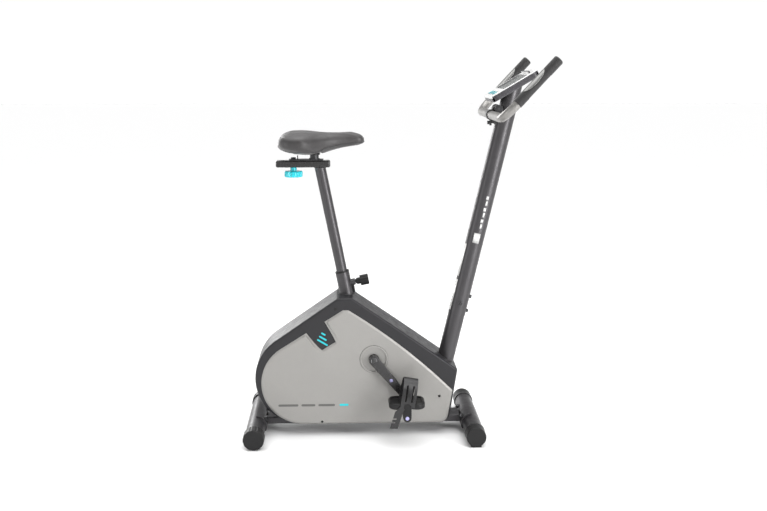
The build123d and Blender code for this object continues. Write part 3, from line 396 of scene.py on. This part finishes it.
def tube(name, path, radius, finish, body, closed=False, sides=10, ripple=0.0, pitch=0.002):
    """A round bead along a path; ripple makes its thickness rise and fall like a weld."""
    path = [Vector(p) for p in path]
    count = len(path)
    verts, travelled = [], 0.0
    for i, p in enumerate(path):
        before = path[i - 1] if (i or closed) else p
        after = path[(i + 1) % count] if (i < count - 1 or closed) else p
        along = (after - before).normalized()
        if i:
            travelled += (p - path[i - 1]).length
        out = along.cross(Vector((0.31, 0.17, 0.93)))
        out.normalize()
        other = along.cross(out)
        r = radius * (1 + ripple * math.sin(travelled / pitch * math.tau))
        for k in range(sides):
            a = math.tau * k / sides
            verts.append(p + out * (r * math.cos(a)) + other * (r * math.sin(a)))
    faces = []
    for i in range(count if closed else count - 1):
        j = (i + 1) % count
        for k in range(sides):
            m = (k + 1) % sides
            faces.append((i * sides + k, i * sides + m, j * sides + m, j * sides + k))
    if not closed:
        faces.append(tuple(range(sides)))
        faces.append(tuple((count - 1) * sides + k for k in range(sides))[::-1])
    return piece(name, verts, faces, finish, body)


def turned(name, profile, origin, axis, finish, body, sides=40):
    """A turned piece: profile points are (radius, height) from the axis outward."""
    axis = Vector(axis).normalized()
    u = axis.orthogonal().normalized()
    v = axis.cross(u)
    origin = Vector(origin)
    verts, faces = [], []
    for r, h in profile:
        for k in range(sides):
            a = math.tau * k / sides
            verts.append(origin + axis * h + u * (r * math.cos(a)) + v * (r * math.sin(a)))
    for i in range(len(profile) - 1):
        for k in range(sides):
            m = (k + 1) % sides
            faces.append((i * sides + k, i * sides + m, (i + 1) * sides + m, (i + 1) * sides + k))
    faces.append(tuple(range(sides))[::-1])
    faces.append(tuple((len(profile) - 1) * sides + k for k in range(sides)))
    return piece(name, verts, faces, finish, body)


def wrapped(name, foot, lean, radius, low, high, start, end, thick, finish, body):
    """A thin label wrapped on a leaning tube. Angles are in degrees from the right side towards the rear."""
    up, fore = lean_axes(lean)
    steps, rows = 14, 2
    verts, faces = [], []
    for r in (radius, radius + thick):
        for i in range(rows + 1):
            along = low + (high - low) * i / rows
            for k in range(steps + 1):
                a = math.radians(start + (end - start) * k / steps)
                out = Vector((0, -1, 0)) * (r * math.cos(a)) - fore * (r * math.sin(a))
                verts.append(foot + up * along + out)
    wide = steps + 1
    layer = wide * (rows + 1)
    for i in range(rows):
        for k in range(steps):
            a = i * wide + k
            faces.append((a, a + 1, a + wide + 1, a + wide))
            b = a + layer
            faces.append((b, b + wide, b + wide + 1, b + 1))
    rim = list(range(wide))
    rim += [i * wide + steps for i in range(1, rows + 1)]
    rim += [rows * wide + k for k in range(steps - 1, -1, -1)]
    rim += [i * wide for i in range(rows - 1, 0, -1)]
    for i, a in enumerate(rim):
        b = rim[(i + 1) % len(rim)]
        faces.append((a, b, b + layer, a + layer))
    return piece(name, verts, faces, finish, body)


def ring_on_tube(foot, lean, radius, along, tilt_to=None, steps=72):
    """Points round a leaning tube, square to it or on a level plane at height tilt_to."""
    up, fore = lean_axes(lean)
    points = []
    for k in range(steps):
        a = math.tau * k / steps
        out = fore * (radius * math.cos(a)) + Vector((0, 1, 0)) * (radius * math.sin(a))
        p = foot + up * along + out
        if tilt_to is not None:
            p += up * ((tilt_to - p.z) / up.z)
        points.append(p)
    return points


# ------------------------------------------------------------------ saddle

SADDLE = (
    (-0.3750, 0.022, 0.9620, 0.9820),
    (-0.3715, 0.060, 0.9530, 0.9900),
    (-0.3630, 0.085, 0.9450, 0.9965),
    (-0.3460, 0.103, 0.9375, 1.0010),
    (-0.3200, 0.1115, 0.9325, 1.0028),
    (-0.2950, 0.1120, 0.9300, 1.0030),
    (-0.2680, 0.0990, 0.9290, 1.0012),
    (-0.2400, 0.0780, 0.9325, 0.9990),
    (-0.2150, 0.0600, 0.9405, 0.9983),
    (-0.1850, 0.0460, 0.9490, 0.9987),
    (-0.1550, 0.0385, 0.9555, 0.9998),
    (-0.1250, 0.0335, 0.9600, 1.0003),
    (-0.1070, 0.0280, 0.9620, 0.9970),
    (-0.0970, 0.0200, 0.9640, 0.9910),
    (-0.0920, 0.0090, 0.9690, 0.9830),
)


def saddle_at(x):
    """Half width, underside height and top height of the saddle at x, on a smooth curve."""
    rows = SADDLE
    i = max(0, min(len(rows) - 2, sum(1 for r in rows if r[0] <= x) - 1))
    a, b = rows[i], rows[i + 1]
    before, after = rows[max(0, i - 1)], rows[min(len(rows) - 1, i + 2)]
    t = (x - a[0]) / (b[0] - a[0])
    out = []
    for c in (1, 2, 3):
        run = b[0] - a[0]
        m0 = (b[c] - before[c]) / (b[0] - before[0]) * run
        m1 = (after[c] - a[c]) / (after[0] - a[0]) * run
        h = (2 * t**3 - 3 * t**2 + 1, t**3 - 2 * t**2 + t, -2 * t**3 + 3 * t**2, t**3 - t**2)
        out.append(h[0] * a[c] + h[1] * m0 + h[2] * b[c] + h[3] * m1)
    return out


def ease(value):
    """Holds a value between 0 and 1."""
    return min(1.0, max(0.0, value))


def saddle_mesh(shrink):
    """The saddle's closed skin, shrink metres inside its full size."""
    around, length = 64, 72
    rear, long = SADDLE[0][0], SADDLE[-1][0] - SADDLE[0][0]
    verts, faces = [], []
    for i in range(length + 1):
        s = i / length
        x = rear + long * (0.5 - 0.5 * math.cos(math.pi * s)) * 0.5 + long * s * 0.5
        half, low, high = saddle_at(x)
        half, low, high = half - shrink, low + shrink, high - shrink
        mid, tall = (low + high) / 2 + (high - low) * 0.04, (high - low) / 2
        for k in range(around):
            a = math.tau * k / around
            c, sn = math.cos(a), math.sin(a)
            y = half * math.copysign(abs(c) ** 0.80, c)
            if sn > 0:
                z = mid + (high - mid) * abs(sn) ** 0.72
                fade = ease((-0.135 - x) / 0.06) * ease((x + 0.385) / 0.03)
                groove = 0.0055 * math.exp(-((y / 0.013) ** 2))
                swell = 0.002 * math.exp(-(((abs(y) - 0.058) / 0.028) ** 2))
                z += (swell - groove) * fade * sn
            else:
                z = mid - (mid - low) * abs(sn) ** 0.55
            verts.append((x, y, z))
    for i in range(length):
        for k in range(around):
            m = (k + 1) % around
            faces.append((i * around + k, i * around + m, (i + 1) * around + m, (i + 1) * around + k))
    faces.append(tuple(range(around))[::-1])
    faces.append(tuple(length * around + k for k in range(around)))
    return verts, faces


def pad_out(pad, pressure, cap):
    """Fills a closed skin like a stuffed cover: remesh, cloth pressure, capped movement."""
    remesh = pad.modifiers.new("remesh", "REMESH")
    remesh.mode = "VOXEL"
    remesh.voxel_size = 0.0045
    remesh.use_smooth_shade = True
    bpy.context.view_layer.objects.active = pad
    pad.select_set(True)
    bpy.ops.object.modifier_apply(modifier="remesh")
    before = np.array([v.co for v in pad.data.vertices])
    cloth = pad.modifiers.new("cloth", "CLOTH")
    cloth.settings.use_pressure = True
    cloth.settings.uniform_pressure_force = pressure
    cloth.settings.effector_weights.gravity = 0
    cloth.settings.quality = 4
    cloth.settings.tension_stiffness = 25
    cloth.settings.compression_stiffness = 25
    cloth.point_cache.frame_start = 1
    cloth.point_cache.frame_end = 20
    for step in range(1, 21):
        scene.frame_set(step)
    bpy.ops.object.modifier_apply(modifier="cloth")
    scene.frame_set(1)
    after = np.array([v.co for v in pad.data.vertices])
    if len(after) == len(before):
        move = after - before
        size = np.linalg.norm(move, axis=1, keepdims=True)
        after = before + move * np.minimum(1, cap / np.maximum(size, 1e-9))
        pad.data.vertices.foreach_set("co", after.astype(np.float32).ravel())
    pad.data.update()


def seat_on(pad, base, reach=0.008, fade=0.006, clear=0.0006, ceiling=1.0045):
    """Smooths a pad, lifts its underside clear of the plate it sits on and levels its crown."""
    low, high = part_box(base)
    skin = bmesh.new()
    skin.from_mesh(pad.data)
    for _ in range(2):
        bmesh.ops.smooth_vert(
            skin, verts=skin.verts, factor=0.4, use_axis_x=True, use_axis_y=True, use_axis_z=True
        )
    floor_z = high.z + clear
    for v in skin.verts:
        over_x = ease((v.co.x - low.x + reach) / fade) * ease((high.x + reach - v.co.x) / fade)
        over_y = ease((high.y + reach - abs(v.co.y)) / fade)
        if v.co.z < floor_z:
            v.co.z += (floor_z - v.co.z) * min(over_x, over_y)
        v.co.z = min(v.co.z, ceiling)
    skin.to_mesh(pad.data)
    skin.free()


def hem_path(pad, count=180):
    """Points just inside a pad's lower edge, all the way round."""
    polygons = [polygon.vertices[:] for polygon in pad.data.polygons]
    tree = BVHTree.FromPolygons([v.co for v in pad.data.vertices], polygons)
    path = []
    for i in range(count):
        a = math.tau * i / count
        turn = math.sin(a)
        x = -0.2335 - 0.1385 * math.cos(a)
        half, low, _ = saddle_at(max(-0.3745, min(-0.0925, x)))
        y = math.copysign(half * abs(turn) ** 0.35, turn) if 0.02 < abs(turn) else half * turn
        guess = Vector((x, y * 0.93, low + 0.006))
        path.append(tree.find_nearest(guess)[0] or guess)
    for _ in range(3):
        path = [(path[i - 1] + path[i] * 2 + path[(i + 1) % count]) / 4 for i in range(count)]
    return path


verts, faces = saddle_mesh(0.0022)
saddle = piece("saddle_pad", verts, faces, finishes["saddle_skin"], None)
pad_out(saddle, 3.0, 0.0045)
seat_on(saddle, "saddle_base")
saddle.data.materials.clear()
saddle.data.materials.append(finishes["saddle_skin"])
for polygon in saddle.data.polygons:
    polygon.use_smooth = True
smooth = saddle.modifiers.new("subdivide", "SUBSURF")
smooth.levels = smooth.render_levels = 1
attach(saddle, "saddle")
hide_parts("saddle_cushion")
tube("saddle_hem", hem_path(saddle), 0.0014, trim_dark, "saddle", closed=True, sides=8)

# ------------------------------------------------------------------ housing trim

MARK_Z = 0.107
MARK_TALL = 0.0075
MARKS = ((-0.3500, 0.066), (-0.2840, 0.046), (-0.2235, 0.055))
CHIP_TURN = math.radians(31)
CHIP_START_X, CHIP_START_Z = -0.2405, 0.3225
CHIP_PITCH = 0.013
CHIP_TALL = 0.0052
PLUG = [(0.0001, 0.0), (0.0052, 0.0), (0.0052, 0.0005), (0.0044, 0.0009), (0.0001, 0.0007)]
CRANK_RING = 0.0462
MARK_LIFT = 0.00003


def housing_trim(hand, tag):
    """Blank marks on the panel, three bars in its notch, a plug, and a dark line round the crank that is
    painted shade for the groove there.
    """
    u, v, n = side_axes(hand)
    face = hand * (PANEL_Y + MARK_LIFT)
    for i, (x, wide) in enumerate(MARKS):
        outline = rounded_outline(wide, MARK_TALL, MARK_TALL * 0.49)
        spot = (x, face, MARK_Z)
        plate(f"{tag}_mark_{i}", outline, spot, u, v, n, 0.0003, trim_grey, "frame", "console_dark")
    outline = rounded_outline(0.030, MARK_TALL, 0.0036)
    spot = (-0.1660, face, MARK_Z)
    plate(f"{tag}_mark_teal", outline, spot, u, v, n, 0.0003, trim_teal, "frame", "teal_plastic")
    across = Vector((math.cos(-CHIP_TURN), 0, math.sin(-CHIP_TURN)))
    along = Vector((math.sin(CHIP_TURN), 0, math.cos(CHIP_TURN)))
    for i, wide in enumerate((0.040, 0.028, 0.016)):
        start = Vector((CHIP_START_X, hand * (SHELL_Y + MARK_LIFT), CHIP_START_Z))
        start = start + along * (CHIP_PITCH * i) + across * (wide / 2 - 0.014)
        outline = rounded_outline(wide, CHIP_TALL, 0.0025)
        plate(
            f"{tag}_chip_{i}", outline, start, across, along, n, 0.0004, trim_teal, "frame",
            "teal_plastic",
        )
    plug_at = (-0.1915, hand * (SHELL_Y + 0.00005), 0.431)
    turned(f"{tag}_plug", PLUG, plug_at, (0, hand, 0), trim_black, "frame")
    # A thin dark ring at the crank disc's edge: painted shade standing in for the groove round it.
    ring = []
    for k in range(96):
        a = math.tau * k / 96
        ring.append(
            (CRANK_X + CRANK_RING * math.cos(a), hand * PANEL_Y, CRANK_Z + CRANK_RING * math.sin(a)),
        )
    tube(f"{tag}_crank_ring_groove_shade", ring, 0.0007, trim_dark, "frame", closed=True, sides=6)


for hand, tag in SIDES:
    housing_trim(hand, tag)

gasket = ring_on_tube(SEAT_FOOT, SEAT_LEAN, 0.0252, 0, tilt_to=0.4668)
tube("seat_tube_gasket", gasket, 0.0021, trim_dark, "frame", closed=True)

lock_up, lock_fore = lean_axes(SEAT_LEAN)
plate(
    "lock_shroud",
    rounded_outline(0.013, 0.036, 0.005),
    SEAT_FOOT + lock_up * 0.438 + lock_fore * 0.0231,
    Vector((0, 1, 0)),
    lock_up,
    lock_fore,
    0.007,
    finishes["black_plastic"],
    "frame",
    "black_plastic",
    soften=0.3,
)

# ------------------------------------------------------------------ brake wire

wire_low, wire_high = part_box("brake_cable")
wire_x, wire_y = (wire_low.x + wire_high.x) / 2, (wire_low.y + wire_high.y) / 2
wire_path = [(wire_x, wire_y, wire_low.z + (wire_high.z - wire_low.z) * k / 12) for k in range(13)]
wire = tube("brake_wire", wire_path, 0.00078, finishes["zinc_steel"], None, sides=12)
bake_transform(wire)
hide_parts("brake_cable")

# ------------------------------------------------------------------ mast trim



def on_mast(name, low, high, start, end, finish, lift=0.0, thick=0.0003):
    """A blank label on the mast, between two distances up it and two angles round it."""
    radius = MAST_SKIN + lift
    wrapped(name, MAST_FOOT, MAST_LEAN, radius, low, high, start, end, thick, finish, "frame")


on_mast("mast_badge", 0.600, 0.633, -20, 22, trim_pale)
for i in range(6):
    low = 0.650 + i * 0.0195
    tall, end = (0.012, 2) if i % 2 else (0.016, -2)
    on_mast(f"mast_dash_{i}", low, low + tall, -14, end, trim_pale)
on_mast("mast_strip_upper", 0.478, 0.590, 62, 108, trim_label)
on_mast("mast_strip_lower", 0.362, 0.467, 62, 108, trim_label)
for i in range(9):
    low = 0.372 + i * 0.0105
    end = 92 if i % 4 == 0 else 84
    on_mast(f"mast_tick_{i}", low, low + 0.0012, 70, end, trim_grey, 0.00035, 0.0002)

# ------------------------------------------------------------------ welds


def weld(name, foot, lean, radius, level, bead, body, steps, pitch):
    """A rippled bead where a leaning tube meets a level face."""
    path = ring_on_tube(foot, lean, radius, 0, tilt_to=level, steps=steps)
    tube(name, path, bead, trim_weld, body, closed=True, ripple=0.14, pitch=pitch)


weld("seat_tube_weld", SEAT_FOOT, SEAT_LEAN, 0.0238, BEAM_WELD_Z, 0.0022, "frame", 240, 0.0036)
weld("mast_weld", MAST_FOOT, MAST_LEAN, 0.0288, BEAM_WELD_Z, 0.0022, "frame", 240, 0.0036)
weld("post_head_weld", SEAT_FOOT, SEAT_LEAN, 0.0186, 0.8868, 0.0012, "seat_post", 200, 0.0032)

# ------------------------------------------------------------------ screw sockets and panel screw holes as painted shade, crank caps

# Profile of a near-black disc on a panel screw's head: painted shade inside the screw hole.
HOLE_SHADE = [(0.0001, 0), (0.0037, 0), (0.0037, 0.0002), (0.0022, 0.0002), (0.0018, 0.0001), (0.0001, 0.0001)]
CAP = [(0.0001, 0), (0.0088, 0), (0.0088, 0.0016), (0.0074, 0.0026), (0.0001, 0.0030)]


def socket(name, centre, axis, radius, body):
    """A dark hex plate on a screw's head: painted shade standing in for its recessed socket."""
    axis = Vector(axis).normalized()
    u = axis.orthogonal().normalized()
    v = axis.cross(u)
    corners = [math.tau * k / 6 for k in range(6)]
    outline = [(radius * math.cos(a), radius * math.sin(a)) for a in corners]
    plate(name, outline, centre, u, v, axis, 0.00025, trim_dark, body, "black_plastic")


# Dark hexagons on the mast and hinge bolts: painted shade for their socket recesses.
up, fore = lean_axes(MAST_LEAN)
for i, along in enumerate((0.368, 0.417)):
    socket(f"mast_bolt_socket_shade_{i}", MAST_FOOT + up * along + fore * 0.03515, fore, 0.0026, "frame")
spot = MAST_FOOT + up * 0.392
socket("mast_side_socket_shade", (spot.x, -0.03305, spot.z), (0, -1, 0), 0.0026, "frame")
for hand, tag in SIDES:
    out = (0, hand, 0)
    socket(f"{tag}_hinge_socket_shade", (0.338, hand * 0.03705, 1.076), out, 0.0042, "frame")
    # Near-black discs on the panel screws are painted shade in the holes over them.
    for i, (x, z) in enumerate(PANEL_SCREWS):
        head = (x, hand * (SHELL_Y + 0.00183), z)
        turned(f"{tag}_panel_hole_shade_{i}", HOLE_SHADE, head, out, trim_black, "frame", sides=28)
    hub = (CRANK_X, hand * 0.10905, CRANK_Z)
    turned(f"{tag}_crank_cap", CAP, hub, out, trim_dark, "crank")

# ------------------------------------------------------------------ pedals

STICKER = [(0.0001, 0), (0.0062, 0), (0.0062, 0.0003), (0.0060, 0.0004), (0.0001, 0.0004)]
CRANK_STICKER = [(0.0001, 0), (0.0056, 0), (0.0056, 0.0003), (0.0001, 0.0003)]
TREAD_PITCH = 0.0125
ARM_X, ARM_Z = CRANK_LENGTH * math.cos(CRANK_ANGLE), CRANK_LENGTH * math.sin(CRANK_ANGLE)


def pedal_trim(hand, tag):
    """Round stickers on the weight and the crank, and two rows of rubber treads."""
    body = f"{tag}_pedal"
    out = (0, hand, 0)
    px, pz = CRANK_X - hand * ARM_X, CRANK_Z - hand * ARM_Z
    weight = (px, hand * 0.21405, pz - 0.0385)
    turned(f"{tag}_weight_sticker", STICKER, weight, out, trim_sticker, body, sides=28)
    mid = (CRANK_X - hand * ARM_X * 0.55, hand * 0.10505, CRANK_Z - hand * ARM_Z * 0.55)
    turned(
        f"{tag}_crank_sticker", CRANK_STICKER, mid, out, trim_sticker, "crank",
        sides=28,
    )
    axes = Vector((1, 0, 0)), Vector((0, 1, 0)), Vector((0, 0, 1))
    for side, mark in ((-1, "r"), (1, "f")):
        for row in range(5):
            y = hand * (0.168 + (row - 2) * TREAD_PITCH)
            outline = rounded_outline(0.010 if row in (0, 4) else 0.012, 0.0042, 0.0018, steps=3)
            spot = (px + side * 0.019, y, pz + 0.0099)
            name = f"{tag}_tread_{mark}{row}"
            plate(name, outline, spot, *axes, 0.0011, finishes["strap_rubber"], body, "strap_rubber")


for hand, tag in SIDES:
    pedal_trim(hand, tag)

# ------------------------------------------------------------------ console

LCD_DEPTH = -0.0038


def on_console(x, y, depth):
    """A point x up the console's face, y to the rider's left and depth out of it."""
    return CONSOLE_MIDDLE + console_fore * x + console_side * y + console_up * depth


def on_face(name, outline, spot, thick, finish, slot, body="frame"):
    """A thin plate that lies on the console's face."""
    axes = (console_fore, console_side) if body == "frame" else (console_side, console_fore)
    plate(name, outline, on_console(*spot), *axes, console_up, thick, finish, body, slot)


on_face(
    "display_sheet", rounded_outline(0.074, 0.140, 0.004), (0.008, 0, -0.0046), 0.0008, trim_lcd,
    "lens",
)
for row, x in enumerate((0.030, 0.010, -0.012)):
    tall, lines = (0.012, 3) if row else (0.007, 4)
    for column in range(4):
        y = 0.051 - column * 0.034
        for k in range(lines):
            outline = rounded_outline(tall, 0.0038, 0.0012, steps=2)
            spot = (x, y - k * 0.0062, LCD_DEPTH)
            on_face(f"display_bar_{row}{column}{k}", outline, spot, 0.0002, trim_dark, "lens")
outline = rounded_outline(0.0008, 0.132, 0.0003, steps=2)
on_face("display_rule", outline, (0.020, 0, LCD_DEPTH), 0.0002, trim_dark, "lens")
rim = [on_console(0.008 + a, b, 0.0001) for a, b in rounded_outline(0.0852, 0.1512, 0.0082, steps=8)]
tube("lens_rim", rim, 0.0006, trim_dark, "frame", closed=True, sides=6)
for i, (y, name) in enumerate(zip(BUTTON_SPOTS, ("right_button", "middle_button", "left_button"))):
    turns = [math.tau * k / 40 for k in range(40)]
    ring = [
        on_console(BUTTON_FORE + 0.0107 * math.cos(a), y + 0.0107 * math.sin(a), 0.0001) for a in turns
    ]
    tube(f"button_ring_{i}", ring, 0.0005, trim_dark, "frame", closed=True, sides=6)
    outline = rounded_outline(0.0075, 0.0012, 0.0005, steps=2)
    spot = (BUTTON_FORE, y, 0.00203)
    on_face(f"{name}_mark", outline, spot, 0.0002, trim_pale, "console_light", body=name)
for i in range(3):
    outline = rounded_outline(0.0012, 0.128, 0.0005, steps=2)
    spot = (0.0602 + i * 0.0018, 0, 0.00703)
    on_face(f"ledge_rib_{i}", outline, spot, 0.0003, trim_dark, "console_dark")

# ------------------------------------------------------------------ studio

floor_mesh = bpy.data.meshes.new("floor")
grid = 24
span = 60.0
stride = grid + 1
points, quads = [], []
for i in range(stride):
    for k in range(stride):
        points.append(((i / grid - 0.5) * span, (k / grid - 0.5) * span, -0.0002))
for i in range(grid):
    for k in range(grid):
        first = i * stride + k
        quads.append((first, first + stride, first + stride + 1, first + 1))
floor_mesh.from_pydata(points, [], quads)
floor_paper = material("floor_paper", (0.9, 0.9, 0.9), 0.8, bump=0.0, mottle=0.0, wear=0.0)
floor_mesh.materials.append(floor_paper)
floor = bpy.data.objects.new("floor", floor_mesh)
scene.collection.objects.link(floor)

world = bpy.data.worlds.new("studio")
scene.world = world
world.use_nodes = True
sky = world.node_tree
heading = sky.nodes.new("ShaderNodeTexCoord")
split = sky.nodes.new("ShaderNodeSeparateXYZ")
ramp = sky.nodes.new("ShaderNodeValToRGB")
sky.links.new(heading.outputs["Generated"], split.inputs[0])
sky.links.new(split.outputs["Z"], ramp.inputs[0])
# White round the horizon, dim above it and bright overhead, as (height, level).
bands = ((0.0, 1.02), (0.1, 1.02), (0.27, 0.16), (0.62, 0.2), (0.86, 2.25))
while len(ramp.color_ramp.elements) < len(bands):
    ramp.color_ramp.elements.new(0.5)
for element, (place, level) in zip(ramp.color_ramp.elements, bands):
    element.position = place
    element.color = (level, level, level, 1)
sky.links.new(ramp.outputs[0], sky.nodes["Background"].inputs["Color"])
sky.nodes["Background"].inputs["Strength"].default_value = 1.0


def softbox(name, place, target, size, power):
    """A rectangular light of a size in metres and a power in watts, aimed at a target."""
    light = bpy.data.lights.new(name, "AREA")
    light.shape = "RECTANGLE"
    light.size, light.size_y = size
    light.energy = power
    box = bpy.data.objects.new(name, light)
    box.location = place
    box.rotation_euler = (Vector(target) - Vector(place)).to_track_quat("-Z", "Y").to_euler()
    box.visible_camera = False
    scene.collection.objects.link(box)


softbox("key", (2.3, -2.5, 1.05), (0.2, 0, 0.6), (0.9, 1.9), 85)
softbox("high", (1.2, -2.2, 3.0), (0, 0, 0.5), (1.2, 1.2), 22)
softbox("top", (0.0, 0.3, 3.4), (0, 0, 0.4), (2.0, 1.2), 20)
softbox("fill", (-2.9, -1.2, 1.0), (0, 0, 0.6), (0.3, 1.8), 14)
softbox("back", (-1.6, 2.6, 1.6), (0, 0, 0.6), (0.6, 2.0), 40)
